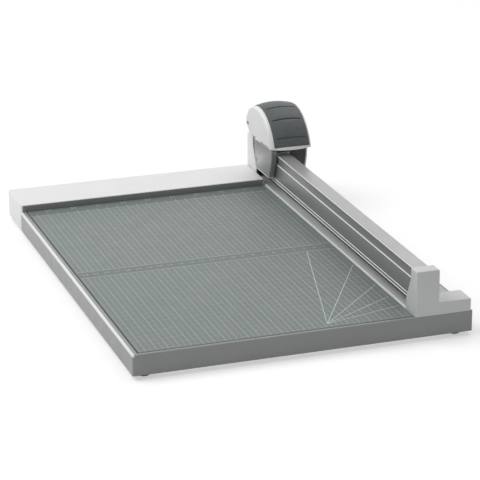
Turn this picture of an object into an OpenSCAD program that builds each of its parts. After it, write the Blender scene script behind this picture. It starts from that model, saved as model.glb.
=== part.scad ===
// Rotary paper trimmer: a flat base with a printed mat and a rear fence, and a sprung guide rail
// between two posts. A carriage runs along the rail and carries a sprung cutting head, whose
// round blade rolls along the cutting strip.
// Millimetres. +X runs right across the cut line, +Y runs back along the rail, +Z is up.
// The origin is on the table under the middle of the base. Inside on_base() the pieces are
// placed from the base's left front bottom corner.

/* [Base] */
// Width of the base
base_w = 305.4; // [300:0.1:330]
// Depth of the base, fence included
base_d = 442.3; // [435:0.1:480]
// Height of the base's sides
base_h = 18.8; // [17:0.1:24]
// Thickness of the tray's side walls
base_wall = 2.4; // [2:0.1:2.8]
// Radius of the base's upright corners
base_corner_r = 1.6; // [1:0.1:2]
// Radius along the base's top edges
base_edge_r = 0.9; // [0.5:0.1:1.2]
// Width of the rim left of the mat
side_rim_w = 4.8; // [4:0.1:7]
// Width of the rim in front of the mat
front_rim_w = 2.6; // [2.2:0.1:4]
// Width of the rim right of the deck panel
right_rim_w = 2.1; // [1.8:0.1:3]
// Thickness of the plate under the mat
deck_t = 2; // [1.6:0.1:3]
// Thickness of the mat, which lies flush with the rims
mat_t = 2.2; // [1.6:0.1:2.6]
// Gap between neighbouring pieces of the work surface
seam = 0.3; // [0.2:0.05:0.5]
// Thickness of the ribs under the deck
rib_t = 1.6; // [1.2:0.1:2.4]
// Rib cells across the base
rib_columns = 3; // [2:1:4]
// Rib cells along the base
rib_rows = 4; // [3:1:5]
// Thickness of the steel bottom plate
bottom_plate_t = 1.2; // [0.8:0.1:1.6]

/* [Feet] */
// Radius of a rubber foot
foot_r = 6; // [5:0.1:7]
// Height of a rubber foot
foot_h = 4; // [3.4:0.1:6]
// Distance of a foot's centre from the base's side
foot_inset_x = 12.6; // [12:0.1:20]
// Distance of a foot's centre from the base's front or back
foot_inset_y = 11.8; // [11.5:0.1:20]

/* [Fence] */
// Depth of the rear fence, front to back
fence_d = 54.1; // [50:0.1:60]
// Height of the fence above the work surface
fence_rise = 6.8; // [5:0.1:7.5]
// Wall of the fence moulding
fence_wall = 2.2; // [1.8:0.1:2.4]
// Radius of the fence's upright corners
fence_corner_r = 3; // [2:0.1:4]
// Radius along the fence's top edges
fence_edge_r = 1.5; // [1:0.1:1.8]

/* [Cut line] */
// Distance of the cut line from the base's right side
cut_inset = 52.45; // [51.45:0.05:56]
// Width of the cutting strip
strip_w = 16.6; // [16:0.1:17]
// Height of the cutting strip above the work surface
strip_rise = 1.5; // [1:0.1:2]
// How far the strip reaches left of the cut line
strip_lead = 0.65; // [0.5:0.05:0.8]
// Height of the deck panel above the rims
panel_rise = 0.3; // [0.1:0.1:0.6]

/* [Posts] */
// Width of a post
post_w = 21.1; // [20.6:0.1:24]
// Height of a post above the work surface
post_rise = 41.2; // [40:0.1:44]
// Depth of the front post at its top
front_post_d = 12.5; // [12:0.1:14]
// Depth of the rear post at its top
rear_post_d = 18.3; // [16:0.1:19]
// How much deeper a post is at its foot than at its top
post_flare = 9.5; // [8:0.1:10]
// Left wall of a post, beside the rail
post_cheek = 1; // [0.9:0.05:1.1]
// Roof of a post, over the rail
post_roof = 1.2; // [1:0.1:1.5]
// Outer end wall of a post
post_end_wall = 2.4; // [2:0.1:2.6]
// Depth of the foot plate right of a post
foot_plate_d = 23.2; // [22:0.1:26]
// Height of the foot plate above the work surface
foot_plate_rise = 11.2; // [9:0.1:12]
// Wall of the hollow foot plate
foot_plate_wall = 2; // [1.6:0.1:2.6]
// Radius of a post's edges
post_edge_r = 1.3; // [0.8:0.1:1.6]

/* [Guide rail] */
// Width of the rail at its foot
rail_w = 15.8; // [15.6:0.1:16]
// Wall of the rail extrusion
rail_wall = 1.6; // [1.4:0.1:1.8]
// Height of the sloped ledge along the rail's side, above the rail's foot
ledge_h = 19.4; // [18:0.1:20.5]
// Height of the slope of that ledge
ledge_rise = 0.9; // [0.6:0.1:1.2]
// Width of that ledge
ledge_w = 0.6; // [0.4:0.1:0.7]
// Width of each of the two fine steps near the rail's foot
fine_step = 0.3; // [0.2:0.05:0.35]
// How far the sprung rail goes down to clamp the paper
rail_drop = 4; // [3.5:0.1:4.2]
// Gap all round the rail's ends in the posts, and left when pieces are pressed together
work_gap = 0.3; // [0.25:0.01:0.35]
// Width of the rubber clamp strip under the rail
clamp_w = 10; // [8:0.1:10.4]
// Radius of a guide pin
guide_pin_r = 2; // [1.8:0.05:2.1]

/* [Carriage] */
// Length of the carriage along the rail
carriage_l = 41; // [40:0.1:42]
// Width of the carriage's leg, right of the rail
leg_w = 15.4; // [14:0.1:15.6]
// Thickness of the carriage above its glides
carriage_top_t = 5; // [4.5:0.1:5.2]
// Thickness of the glides
glide_t = 0.8; // [0.6:0.05:0.9]
// Running gap between glides and rail
glide_gap = 0.15; // [0.1:0.01:0.2]
// Radius of a press pin
press_pin_r = 2; // [1.8:0.05:2.1]
// Radial clearance of pins in their bushes
pin_clearance = 0.05; // [0.03:0.01:0.08]

/* [Cutting head] */
// Width of the head
head_w = 43.1; // [42.6:0.1:43.4]
// How far the head reaches left of the cut line
head_lead = 5.35; // [5.2:0.05:5.5]
// Distance of the parked blade's centre from the back of the base
park_back = 60.8; // [60:0.1:63]
// Radius of the dome's front and top
dome_r = 47.3; // [46.6:0.1:48]
// Radius of the dome's back
dome_back_r = 23.2; // [22.8:0.1:24]
// Height of the crown across the dome
dome_crown = 2.8; // [2:0.1:3]
// Distance of the dome's axis behind the blade's centre
dome_axis_back = 20.5; // [19.5:0.1:21]
// Distance of the dome's axis below the blade's centre
dome_axis_below = 1.9; // [1.5:0.1:2.3]
// Side wall of the two covers
cover_wall = 1.5; // [1.3:0.05:1.55]
// Wall of the covers over the top, under the grip
cover_top_wall = 2.4; // [2.2:0.1:2.6]
// Thickness of the grip pad
grip_t = 1.5; // [1.2:0.1:1.7]
// How far the head is pressed down on the carriage
press_stroke = 4.3; // [4:0.1:4.5]
// Height of the grip's front lip above the rail's top
lip_rise = 5.6; // [5.3:0.1:6]

/* [Blade] */
// Radius of the round blade
blade_r = 22.5; // [22.2:0.1:22.6]
// Thickness of the blade
blade_t = 0.5; // [0.4:0.05:0.6]
// Wall of the clear blade guard
guard_wall = 1; // [0.8:0.05:1.05]

/* [Hidden] */

// One overrun for every cut that has to pass a face
cut = 1;
$fn = 48;

// Colours
dark_grey = [0.43, 0.44, 0.45];
mid_grey = [0.62, 0.63, 0.64];
pale_grey = [0.78, 0.79, 0.80];
white = [0.93, 0.93, 0.93];
black = [0.09, 0.09, 0.10];
mat_green = [0.47, 0.54, 0.53];
smoke = [0.55, 0.56, 0.57, 0.6];
alloy = [0.70, 0.71, 0.72];
steel = [0.80, 0.81, 0.83];

// Heights, from the base's bottom edge
strip_top = base_h + strip_rise;
fence_top = base_h + fence_rise;
post_top = base_h + post_rise;
rail_top = post_top - post_roof - work_gap;
stroke = rail_drop + press_stroke;
blade_z = strip_top + work_gap + stroke + blade_r;
deck_underside = base_h - mat_t - deck_t;

// Places across the base
cut_x = base_w - cut_inset;
blade_left = cut_x - blade_t / 2;
blade_right = cut_x + blade_t / 2;
strip_x = cut_x - strip_lead;
strip_end = strip_x + strip_w;
fence_blade_gap = 0.7;
fence_w = blade_left - fence_blade_gap;
post_x = blade_right - post_cheek;
rail_x = post_x + post_cheek + work_gap;
rail_end_x = rail_x + rail_w;
post_right_inset = 1.7;
post_end_x = base_w - post_right_inset;

// Places along the base
fence_y = base_d - fence_d;
blade_y = base_d - park_back;
front_post_foot = front_post_d + post_flare;
rear_post_foot = rear_post_d + post_flare;

// Base tray: a rear corner is set back for the fence, which wraps round it
tray_wrap = fence_wall + seam / 2;
tray_margin = tray_wrap + base_wall;
mat_under_fence = 3;
boss_r = 5;
pilot_r = 1.5;
clearance_hole_r = 1.7;
screw_head_r = 3;
screw_head_h = 1.6;
screw_slot_w = 0.8;
screw_bite = 6;
screw_end_gap = 0.3;
foot_sole_share = 0.82;

// Post: where its inner edge leaves the upright, and how fast the flare starts
post_neck_z = 31.2;
post_neck_h = 2.5;
post_neck_out = 1.4;

// Guide pins, in the middle of the rail's main channel
channel_x0 = 2 * fine_step + ledge_w + rail_wall;
slot_lip = 1.4;
slot_depth = 3.6;
slot_mouth = 4;
slot_undercut = 1.6;
slot_z = 11.9;
rail_floor = 1.8;
fine_step_h = 3.3;
channel_x1 = rail_w - slot_depth - rail_wall;
pin_x = rail_x + (channel_x0 + channel_x1) / 2;
pin_inset = 9.5;
rail_end_gap = 0.6;
end_block_l = 18;
end_block_fit = 0.05;
pin_seat = 9;
pin_below_rail_top = 9;
spring_wire_r = 0.4;
rail_spring_r = 2.8;
spring_fit = 0.3;
rail_spring_rise = 12.3;

// Rail and clamp heights
clamp_bottom = strip_top + work_gap + rail_drop;
clamp_lip_h = 5.1;
rail_z = clamp_bottom + clamp_lip_h;
rail_h = rail_top - rail_z;
clamp_tongue_w = 5;
clamp_tongue_h = 0.8;
clamp_taper = 0.8;
clamp_groove = 0.8;
clamp_end_gap = 1;

// Carriage
carriage_ahead = 17.5;
carriage_y = blade_y - carriage_ahead;
glide_bottom = rail_top + glide_gap;
carriage_under = glide_bottom + glide_t / 2;
carriage_top = carriage_under + carriage_top_t;
carriage_left_gap = 0.7;
carriage_x = blade_right + carriage_left_gap;
leg_x = rail_end_x + work_gap;
leg_end_x = leg_x + leg_w;
leg_lift = 8.3;
leg_bottom = rail_z + leg_lift;
// Places of the press pins ahead of the dome's axis, as shares of the dome's radius
press_pin_shares = [0.5814, 0.1586];
press_pin_x = leg_x + leg_w / 2;
press_pin_foot = 4;
press_pin_under = 1;
press_spring_r = 3.2;
spring_pocket_depth = 14;
bush_wall = 1.15;
boss_wall = 1.4;
bush_z = carriage_top + press_stroke + work_gap;
slider_l = 12;
slider_inset = 2;
slider_seat = 2;

// Dome of the head
head_x = cut_x - head_lead;
head_end_x = head_x + head_w;
split_x = head_x + head_w / 2;
dome_y = blade_y + dome_axis_back;
dome_z = blade_z - dome_axis_below;
// The bushes end just under the covers
bush_reach = press_pin_shares[0] * dome_r + press_pin_r + pin_clearance + bush_wall;
bush_l = dome_z - bush_z + sqrt(pow(dome_r - cover_top_wall - work_gap, 2) - pow(bush_reach, 2));
// Direction, from +Y up, in which the front arc hands over to the tighter back arc, which lies a
// hair lower and runs on inside the front one
dome_join = 66;
dome_step = 0.03;
dome_run_on = 8;
back_y = dome_y + (dome_r - dome_back_r) * cos(dome_join);
back_z = dome_z + (dome_r - dome_back_r) * sin(dome_join);
left_round_w = 4.4;
left_round_h = 3;
right_round_w = 1.7;
right_round_h = 1.2;
crown_x0 = head_x + left_round_w;
crown_x1 = head_end_x - right_round_w;
crown_steps = 12;
round_steps = 6;
lip_z = rail_top + lip_rise;
lip_l = 3.5;
lip_slope_l = 12;
lip_slope_h = 1.9;
side_z = lip_z + lip_slope_h;
over_post_gap = 0.4;
over_post_z = post_top + over_post_gap + stroke;
over_post_back = 31;
over_post_l = 4;
// Corner taken off the covers behind: how far behind the back arc's axis it starts, and how far
// it runs and rises
chamfer_back = 9.7;
chamfer_l = 9.5;
chamfer_h = 7;
// Directions, from +Y up, between which the dome and its grip pad lie
dome_back_angle = dome_join - 180;
dome_front_angle = 178;
grip_back_angle = 68;
grip_lip = 2.2;
grip_front_angle = 180 - asin((lip_z + grip_lip - dome_z) / dome_r);
grip_proud = 0.2;
grip_fit = 0.1;
grip_seat_gap = 0.05;
grip_groove_angles = [102, 124.6, 149];
grip_groove_span = 1.5;
grip_groove_depth = 0.9;
grip_groove_margin = 3.4;

// Skirt of the right cover, as places ahead of and behind the blade's centre
skirt_t = 1.5;
skirt_inset = 0.5;
skirt_z = base_h + foot_plate_rise + work_gap + stroke;
skirt_bend_z = side_z - 14;
skirt_front_top = 14.5;
skirt_front_bend = 13;
skirt_front_foot = 9;
skirt_back_foot = 14.5;
skirt_back_bend = 18.5;
skirt_back_top = 20;

// Blade guard: for points up its front and back edge, the share of its height and the reach
// from the blade's centre as a share of the blade's radius
guard_front_shares = [[0, 0.81], [0.105, 0.89], [0.57, 1.14], [1, 1.2]];
guard_back_shares = [[0, 0.91], [0.245, 1], [0.69, 1.14], [1, 1.156]];
guard_inset = 0.3;
guard_x = head_x + guard_inset;
guard_z = fence_top + work_gap + stroke;
guard_top = side_z - work_gap;
guard_h = guard_top - guard_z;
guard_return = 5.3;
guard_rim_h = 1.2;
guard_rim_w = 0.4;
guard_top_w = 0.3;
clip_front = 4;
clip_back = 22;
clip_front_h = 1.3;
clip_back_h = 2.4;

// Blade carrier and hub
frame_fit = 0.1;
carrier_t = 1.7;
carrier_x = head_x + cover_wall + frame_fit;
carrier_top = blade_z + blade_r;
carrier_eye_r = 7;
carrier_half_w = 15;
carrier_shoulder = 10.6;
carrier_screw_out = 10;
carrier_screw_below = 4.4;
countersink_r = 2.5;
axle_r = 2.5;
axle_head_r = 3.8;
axle_head_t = 0.4;
axle_clearance = 0.05;
hub_r = 8;
hub_t = 1.5;
hub_nose_r = 5.5;
hub_nose_end = blade_right + 0.7 * blade_t;
washer_t = 0.2;
blade_bevel = 1.2;
rivet_r = 0.7;
rivet_count = 3;
rivet_circle_r = 6.7;

// Frame inside the head
frame_gap = 0.8;
frame_z = blade_z + blade_r + frame_gap;
frame_t = 2.2;
web_t = 1.4;
web_half_l = 17.5;
cross_boss_r = 3.4;
cross_boss_gap = 2.9;
cross_boss_z = frame_z - fine_step;
cross_boss_y = back_y - cross_boss_r - cross_boss_gap
    + sqrt(pow(dome_back_r - cover_top_wall, 2) - pow(cross_boss_z - back_z, 2));
cover_screw_r = 2.1;

// Puts pieces in place from the base's left front bottom corner
module on_base() {
    translate([-base_w / 2, -base_d / 2, foot_h])
        children();
}

// Extrudes an outline in X and Z along +Y
module along_y(y, l) {
    translate([0, y + l, 0])
        rotate([90, 0, 0])
            linear_extrude(l)
                children();
}

// Extrudes an outline in Y and Z along +X
module along_x(x, l) {
    translate([x, 0, 0])
        rotate([90, 0, 90])
            linear_extrude(l)
                children();
}

// What has to come off a square outline to round the corner at p; in_x and in_y point inwards
module corner_bite(p, in_x, in_y, r) {
    translate(p)
        mirror([in_x < 0 ? 1 : 0, 0])
            mirror([0, in_y < 0 ? 1 : 0])
                difference() {
                    translate([-cut, -cut])
                        square(r + cut);
                    translate([r, r])
                        circle(r);
                }
}

// Rectangle with its four corners rounded
module rounded_rect(w, d, r) {
    difference() {
        square([w, d]);
        corner_bite([0, 0], 1, 1, r);
        corner_bite([w, 0], -1, 1, r);
        corner_bite([0, d], 1, -1, r);
        corner_bite([w, d], -1, -1, r);
    }
}

// Rectangle with its two top corners rounded
module arch_rect(w, h, r) {
    difference() {
        square([w, h]);
        corner_bite([0, h], 1, -1, r);
        corner_bite([w, h], -1, -1, r);
    }
}

// Block with rounded upright corners and rounded top edges
module soft_block(w, d, h, corner_r, edge_r) {
    intersection() {
        linear_extrude(h)
            rounded_rect(w, d, corner_r);
        along_y(0, d)
            arch_rect(w, h, edge_r);
        along_x(0, w)
            arch_rect(d, h, edge_r);
    }
}

// Pan head screw pointing up, with its seat at z = 0
module screw(shank_l) {
    difference() {
        union() {
            translate([0, 0, -screw_head_h])
                cylinder(h = screw_head_h, r = screw_head_r);
            cylinder(h = shank_l, r = pilot_r);
        }
        for (turn = [0, 90])
            rotate([0, 0, turn])
                translate([-pilot_r, -screw_slot_w / 2, -screw_head_h - cut])
                    cube([2 * pilot_r, screw_slot_w, screw_head_h / 2 + cut]);
    }
}

// One ring of a helix's tube, in the plane through its axis
function spring_ring(r, wire, turn, z) = [
    for (side = [0:5])
        let (a = 60 * side)
            [(r + wire * cos(a)) * cos(turn), (r + wire * cos(a)) * sin(turn), z + wire * sin(a)]
];

// Coil spring standing on z = 0, an unbroken tube of six sides
module coil_spring(r, wire, turns, l) {
    steps = 14;
    last = turns * steps;
    rise = (l - 2 * wire) / last;
    points = [for (i = [0:last]) each spring_ring(r, wire, 360 * i / steps, wire + rise * i)];
    sides = [
        for (i = [0:last - 1])
            for (side = [0:5])
                let (a = 6 * i + side, b = 6 * i + (side + 1) % 6)
                    each [[a, b, b + 6], [a, b + 6, a + 6]]
    ];
    ends = [
        for (side = [1:4])
            each [[0, side + 1, side], [6 * last, 6 * last + side, 6 * last + side + 1]]
    ];
    polyhedron(points, concat(sides, ends));
}

// Places of the four feet
foot_places = [
    for (x = [foot_inset_x, base_w - foot_inset_x])
        for (y = [foot_inset_y, base_d - foot_inset_y])
            [x, y]
];

// Places of the two screws halfway along the bottom plate
plate_screw_places = [
    for (x = [foot_inset_x, base_w - foot_inset_x])
        [x, base_d / 2]
];

// Places of the screws in a foot plate, from the post's outer corner: one beside the post and
// one clear of the rubber foot's boss
foot_plate_screws = [
    [leg_x + boss_r + foot_plate_wall - post_x, foot_plate_d / 2],
    [base_w - foot_inset_x - post_x, foot_inset_y + boss_r + screw_head_r + work_gap]
];

// Places of the screws that hold the two foot plates
post_screw_places = [
    for (place = foot_plate_screws)
        for (y = [place.y, base_d - place.y])
            [post_x + place.x, y]
];

// Places of the three screws that hold the fence
fence_screw_places = [
    for (share = [1 / 6, 1 / 2, 5 / 6])
        [share * fence_w, base_d - fence_d / 2]
];

// Places of the two guide pins
guide_pin_places = [[pin_x, pin_inset], [pin_x, base_d - pin_inset]];

// Places of the two press pins
press_pin_places = [for (share = press_pin_shares) [press_pin_x, dome_y - share * dome_r]];

// Pockets between the ribs under the deck
module rib_cells() {
    inner_w = base_w - 2 * tray_margin;
    inner_d = base_d - 2 * tray_margin;
    cell_w = (inner_w - (rib_columns - 1) * rib_t) / rib_columns;
    cell_d = (inner_d - (rib_rows - 1) * rib_t) / rib_rows;
    for (column = [0:rib_columns - 1])
        for (row = [0:rib_rows - 1])
            translate([tray_margin + column * (cell_w + rib_t), tray_margin + row * (cell_d + rib_t), 0])
                linear_extrude(deck_underside)
                    rounded_rect(cell_w, cell_d, base_wall);
}

module base_tray() {
    mat_end = fence_y + mat_under_fence;
    panel_y = foot_plate_d + seam;
    color(dark_grey)
        on_base()
            difference() {
                union() {
                    difference() {
                        soft_block(base_w, base_d, base_h, base_corner_r, base_edge_r);
                        rib_cells();
                        translate([tray_margin, tray_margin, -cut])
                            cube([base_w - 2 * tray_margin, base_d - 2 * tray_margin, bottom_plate_t + cut]);
                    }
                    for (place = concat(foot_places, plate_screw_places))
                        translate([place.x, place.y, bottom_plate_t])
                            cylinder(h = deck_underside - bottom_plate_t, r = boss_r);
                    for (place = guide_pin_places)
                        translate([place.x, place.y, bottom_plate_t])
                            cylinder(h = deck_underside - bottom_plate_t, r = boss_r);
                }
                translate([side_rim_w, front_rim_w, base_h - mat_t])
                    cube([strip_x - seam - side_rim_w, mat_end - front_rim_w, mat_t + cut]);
                translate([strip_x - seam - cut, front_post_foot, base_h - mat_t])
                    cube([strip_w + seam + cut, base_d - front_post_foot - rear_post_foot, mat_t + cut]);
                translate([strip_end - cut, panel_y, base_h - mat_t])
                    cube([base_w - right_rim_w - strip_end + cut, base_d - 2 * panel_y, mat_t + cut]);
                translate([-cut, fence_y - seam, -cut])
                    cube([tray_wrap + cut, fence_d + seam + cut, base_h + 2 * cut]);
                for (place = concat(post_screw_places, fence_screw_places))
                    translate([place.x, place.y, bottom_plate_t])
                        cylinder(h = deck_underside - bottom_plate_t, r = screw_head_r + work_gap);
                translate([-cut, base_d - tray_wrap, -cut])
                    cube([fence_w + seam + cut, tray_wrap + cut, base_h + 2 * cut]);
                for (place = concat(foot_places, plate_screw_places))
                    translate([place.x, place.y, 0])
                        cylinder(h = bottom_plate_t + screw_bite, r = pilot_r);
                for (place = concat(post_screw_places, fence_screw_places))
                    translate([place.x, place.y, deck_underside - cut])
                        cylinder(h = base_h - deck_underside + 2 * cut, r = clearance_hole_r);
                for (place = guide_pin_places)
                    translate([place.x, place.y, pin_seat])
                        cylinder(h = base_h, r = guide_pin_r);
            }
}

module bottom_plate() {
    color(mid_grey)
        on_base()
            difference() {
                translate([tray_margin + seam, tray_margin + seam, 0])
                    linear_extrude(bottom_plate_t)
                        rounded_rect(base_w - 2 * (tray_margin + seam), base_d - 2 * (tray_margin + seam), base_wall);
                for (place = concat(foot_places, plate_screw_places))
                    translate([place.x, place.y, -cut])
                        cylinder(h = bottom_plate_t + 2 * cut, r = clearance_hole_r);
            }
}

module cutting_mat() {
    mat_x = side_rim_w + seam;
    mat_y = front_rim_w + seam;
    color(mat_green)
        on_base()
            translate([mat_x, mat_y, base_h - mat_t])
                linear_extrude(mat_t)
                    rounded_rect(strip_x - seam - mat_x, fence_y + mat_under_fence - seam - mat_y, base_edge_r);
}

module cutting_strip() {
    z0 = base_h - mat_t;
    color(pale_grey)
        on_base()
            along_y(front_post_foot + seam, base_d - front_post_foot - rear_post_foot - 2 * seam)
                polygon([
                    [strip_x, z0],
                    [strip_end, z0],
                    [strip_end, strip_top - strip_lead],
                    [strip_end - strip_lead, strip_top],
                    [strip_x + fine_step, strip_top],
                    [strip_x, strip_top - fine_step]
                ]);
}

module deck_panel() {
    panel_x = strip_end + seam;
    panel_y = foot_plate_d + 2 * seam;
    color(pale_grey)
        on_base()
            difference() {
                translate([panel_x, panel_y, base_h - mat_t])
                    soft_block(
                        base_w - right_rim_w - seam - panel_x,
                        base_d - 2 * panel_y,
                        mat_t + panel_rise,
                        base_edge_r,
                        panel_rise
                    );
                translate([post_x, base_d - rear_post_foot - seam, base_h - mat_t - cut])
                    cube([post_w + seam, rear_post_foot, mat_t + panel_rise + 2 * cut]);
            }
}

// White moulding over the back of the base: a hollow ridge whose skirts hide the tray behind it
module rear_fence() {
    color(white)
        on_base()
            difference() {
                union() {
                    difference() {
                        translate([0, fence_y, 0])
                            soft_block(fence_w, fence_d, fence_top, fence_corner_r, fence_edge_r);
                        translate([fence_wall, fence_y - cut, -cut])
                            cube([fence_w, fence_d - fence_wall + cut, base_h + cut]);
                        translate([fence_wall, fence_y + fence_wall, base_h - cut])
                            cube([fence_w - 2 * fence_wall, fence_d - 2 * fence_wall, fence_rise - fence_wall + cut]);
                    }
                    for (place = fence_screw_places)
                        translate([place.x, place.y, base_h])
                            cylinder(h = fence_rise - fence_wall / 2, r = boss_r);
                    for (share = [1 / 3, 2 / 3])
                        translate([share * fence_w, fence_y + fence_wall / 2, base_h])
                            cube([rib_t, fence_d - fence_wall, fence_rise - fence_wall / 2]);
                }
                for (place = fence_screw_places)
                    translate([place.x, place.y, base_h - cut])
                        cylinder(h = fence_rise - fence_wall + cut, r = pilot_r);
            }
}

// Post with its foot plate, seen from its outer end: y = 0 is the end of the base
module post(top_d) {
    foot_d = top_d + post_flare;
    hollow_x = rail_end_x + work_gap + foot_plate_wall - post_x;
    foot_w = post_end_x - post_x;
    difference() {
        union() {
            intersection() {
                along_x(0, post_w)
                    difference() {
                        polygon([
                            [0, 0],
                            [foot_d, 0],
                            [foot_d, foot_plate_rise - post_edge_r / 2],
                            [top_d + post_neck_out, post_neck_z - post_neck_h],
                            [top_d, post_neck_z],
                            [top_d, post_rise],
                            [0, post_rise]
                        ]);
                        corner_bite([0, post_rise], 1, -1, post_edge_r);
                        corner_bite([top_d, post_rise], -1, -1, fine_step);
                    }
                along_y(0, foot_d)
                    arch_rect(post_w, post_rise, post_edge_r);
                linear_extrude(post_rise)
                    difference() {
                        square([post_w, foot_d]);
                        corner_bite([0, 0], 1, 1, post_edge_r);
                    }
            }
            intersection() {
                soft_block(foot_w, foot_plate_d, foot_plate_rise, post_edge_r, post_edge_r);
                translate([post_w / 2, 0, 0])
                    cube([foot_w, foot_plate_d, foot_plate_rise]);
            }
        }
        translate([post_cheek, post_end_wall, -cut])
            cube([rail_end_x + work_gap - post_x - post_cheek, foot_d, post_rise - post_roof + cut]);
        difference() {
            translate([hollow_x, foot_plate_wall, -cut])
                cube([
                    foot_w - foot_plate_wall - hollow_x,
                    foot_plate_d - 2 * foot_plate_wall,
                    foot_plate_rise - foot_plate_wall + cut
                ]);
            for (place = foot_plate_screws)
                translate([place.x, place.y, -2 * cut])
                    cylinder(h = foot_plate_rise + 2 * cut, r = screw_head_r);
        }
        for (place = foot_plate_screws)
            translate([place.x, place.y, -cut])
                cylinder(h = screw_bite + cut, r = pilot_r);
    }
}

module front_post() {
    color(mid_grey)
        on_base()
            translate([post_x, 0, base_h])
                post(front_post_d);
}

module rear_post() {
    color(white)
        on_base()
            translate([post_x, base_d, base_h])
                mirror([0, 1, 0])
                    post(rear_post_d);
}

// Moulded foot: a shallow bowl with a sunk hole for its screw
module rubber_feet() {
    sole_r = foot_sole_share * foot_r;
    color(black)
        on_base()
            for (place = foot_places)
                translate([place.x, place.y, -foot_h])
                    rotate_extrude()
                        polygon([
                            [screw_head_r + fine_step, 0],
                            [sole_r, 0],
                            [sole_r + (foot_r - sole_r) / 2, foot_h / 8],
                            [foot_r, foot_h / 2],
                            [foot_r, foot_h],
                            [clearance_hole_r, foot_h],
                            [clearance_hole_r, foot_h / 2],
                            [screw_head_r + fine_step, foot_h / 2]
                        ]);
}

module foot_screws() {
    color(steel)
        on_base()
            for (place = foot_places)
                translate([place.x, place.y, -foot_h / 2])
                    screw(foot_h / 2 + bottom_plate_t + screw_bite);
}

module plate_screws() {
    color(steel)
        on_base()
            for (place = plate_screw_places)
                translate([place.x, place.y, 0])
                    screw(bottom_plate_t + screw_bite);
}

module post_screws() {
    color(steel)
        on_base()
            for (place = post_screw_places)
                translate([place.x, place.y, deck_underside])
                    screw(base_h - deck_underside + screw_bite - screw_end_gap);
}

module fence_screws() {
    color(steel)
        on_base()
            for (place = fence_screw_places)
                translate([place.x, place.y, deck_underside])
                    screw(base_h - deck_underside + fence_rise - fence_wall - screw_end_gap);
}

// Steel pins that stand in the tray and guide the rail up and down inside the posts
module guide_pins() {
    color(steel)
        on_base()
            for (place = guide_pin_places)
                translate([place.x, place.y, pin_seat])
                    cylinder(h = rail_top - pin_below_rail_top - pin_seat, r = guide_pin_r);
}

// Springs round the guide pins, from the tray up into the rail's end blocks
module rail_springs() {
    color(steel)
        on_base()
            for (place = guide_pin_places)
                translate([place.x, place.y, base_h])
                    coil_spring(rail_spring_r, spring_wire_r, 7, rail_z + rail_spring_rise - base_h);
}

// The rail's cross-section, from its left foot: a stepped side, a T slot on the right, and one
// chamber that widens above and below the slot
module rail_section() {
    side_x = 2 * fine_step;
    top_x = side_x + ledge_w;
    difference() {
        polygon([
            [0, 0],
            [rail_w, 0],
            [rail_w, rail_h - fine_step],
            [rail_w - fine_step, rail_h],
            [top_x + fine_step, rail_h],
            [top_x, rail_h - fine_step],
            [top_x, ledge_h + ledge_rise],
            [side_x, ledge_h],
            [side_x, fine_step_h + fine_step],
            [fine_step, fine_step_h],
            [fine_step, 3 * fine_step],
            [0, 2 * fine_step]
        ]);
        translate([channel_x0, rail_floor])
            square([channel_x1 - channel_x0, rail_h - rail_floor - rail_wall]);
        translate([channel_x0, rail_floor])
            square([rail_w - rail_wall - channel_x0, slot_z - slot_undercut - rail_wall - rail_floor]);
        translate([channel_x0, slot_z + slot_mouth + slot_undercut + rail_wall])
            square([
                rail_w - rail_wall - channel_x0,
                rail_h - slot_z - slot_mouth - slot_undercut - 2 * rail_wall
            ]);
        translate([rail_w - slot_lip - cut / 2, slot_z])
            square([slot_lip + cut, slot_mouth]);
        translate([rail_w - slot_depth, slot_z - slot_undercut])
            square([slot_depth - slot_lip, slot_mouth + 2 * slot_undercut]);
        translate([(rail_w - clamp_tongue_w) / 2, -cut])
            square([clamp_tongue_w, clamp_tongue_h + cut]);
    }
}

module guide_rail() {
    rail_y = post_end_wall + rail_end_gap;
    color(alloy)
        on_base()
            difference() {
                translate([rail_x, 0, rail_z])
                    along_y(rail_y, base_d - 2 * rail_y)
                        rail_section();
                for (place = guide_pin_places)
                    translate([place.x, place.y, rail_z - cut])
                        cylinder(h = rail_floor + 2 * cut, r = rail_spring_r + spring_wire_r + spring_fit);
                for (y = end_pin_places)
                    translate([rail_end_x - rail_wall - cut, y, end_pin_z])
                        rotate([0, 90, 0])
                            cylinder(h = rail_wall + 2 * cut, r = end_pin_r);
            }
}

// Cross pins that hold the end blocks, put in from the rail's right side
end_pin_share = 0.8;
end_pin_r = 1.4;
end_pin_z = rail_z + end_pin_share * rail_h;
end_pin_l = 9;
end_pin_back = 3;
end_pin_places = [
    post_end_wall + rail_end_gap + end_block_l - end_pin_back,
    base_d - post_end_wall - rail_end_gap - end_block_l + end_pin_back
];

// Plastic blocks in the rail's ends, which run on the guide pins and rest on the springs
module rail_end_blocks() {
    rail_y = post_end_wall + rail_end_gap;
    block_h = rail_h - rail_floor - rail_wall - 2 * end_block_fit;
    color(black)
        on_base()
            difference() {
                for (y = [rail_y, base_d - rail_y - end_block_l])
                    translate([rail_x + channel_x0 + end_block_fit, y, rail_z + rail_floor + end_block_fit])
                        cube([channel_x1 - channel_x0 - 2 * end_block_fit, end_block_l, block_h]);
                for (place = guide_pin_places) {
                    translate([place.x, place.y, rail_z])
                        cylinder(h = rail_h, r = guide_pin_r + pin_clearance);
                    translate([place.x, place.y, rail_z])
                        cylinder(h = rail_spring_rise, r = rail_spring_r + spring_wire_r + spring_fit);
                }
                for (y = end_pin_places)
                    translate([rail_end_x - end_pin_l, y, end_pin_z])
                        rotate([0, 90, 0])
                            cylinder(h = end_pin_l, r = end_pin_r);
            }
}

module end_block_pins() {
    color(steel)
        on_base()
            for (y = end_pin_places)
                translate([rail_end_x - end_pin_l, y, end_pin_z])
                    rotate([0, 90, 0])
                        cylinder(h = end_pin_l - screw_end_gap, r = end_pin_r);
}

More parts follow.
